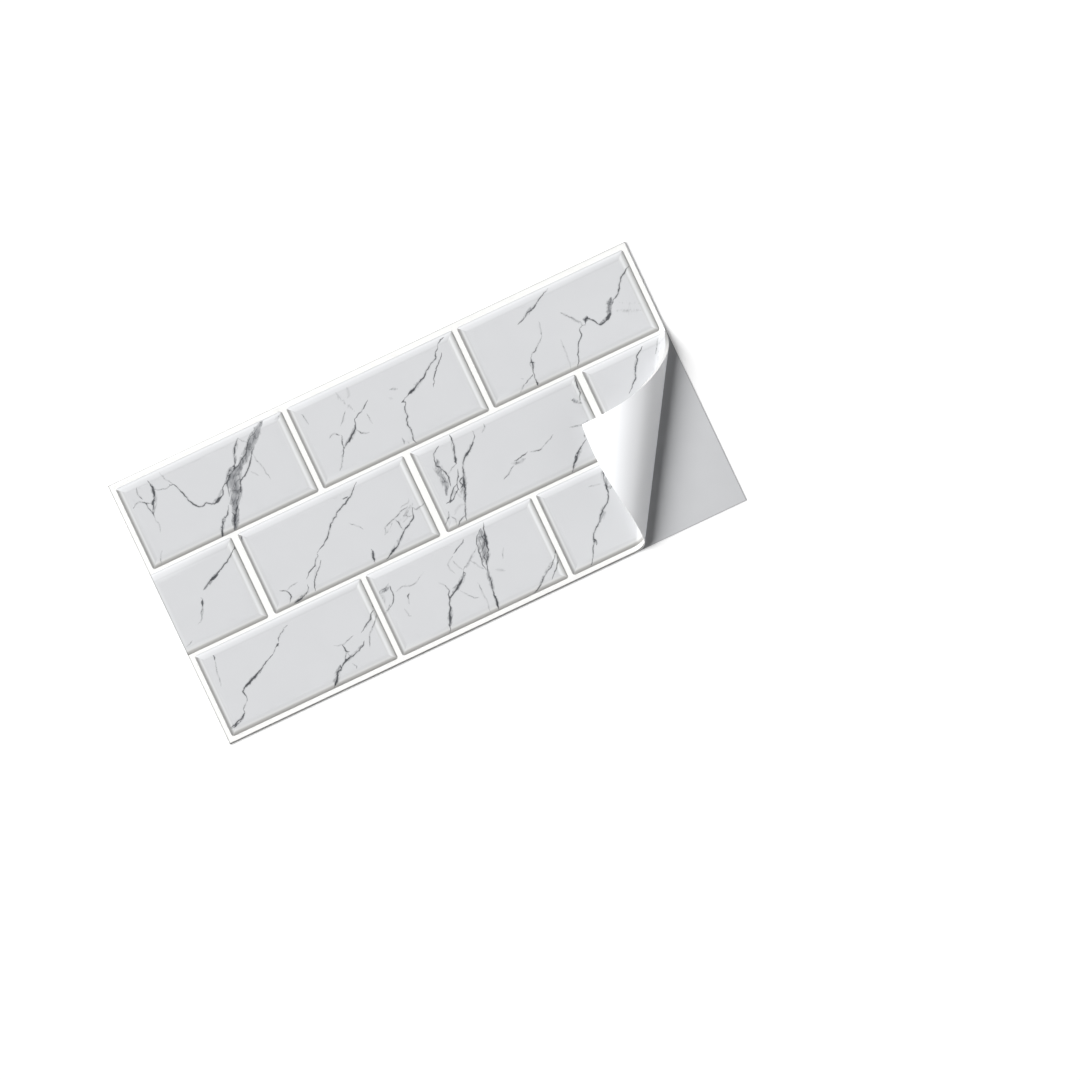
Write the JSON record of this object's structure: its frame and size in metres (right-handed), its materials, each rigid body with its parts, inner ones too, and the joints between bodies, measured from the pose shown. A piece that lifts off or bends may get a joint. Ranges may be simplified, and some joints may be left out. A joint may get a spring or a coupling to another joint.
{
  "type": "peel and stick backsplash tile",
  "caption": "Flat rectangular wall tile sheet with raised bevelled brick pads in running bond, marble print, self-adhesive back and one corner rolled back off its liner.",
  "frame": {"origin": "centre of the release liner's underside, which is the centre of the whole sheet in plan", "axes": "+X along the sheet's length, towards the end with the peeled corner; +Y across the sheet, away from the peeled corner; +Z out of the printed face"},
  "size_m": [0.3048, 0.1524, 0.0224],
  "materials": {
    "tile_face": "printed pale grey marble under a satin clear coat, white joints and a white glossy adhesive back",
    "liner_paper": "smooth grey coated release paper"
  },
  "bodies": {
    "root": {"tile_sheet": "tile_face", "release_liner": "liner_paper"}
  },
  "joints": []
}
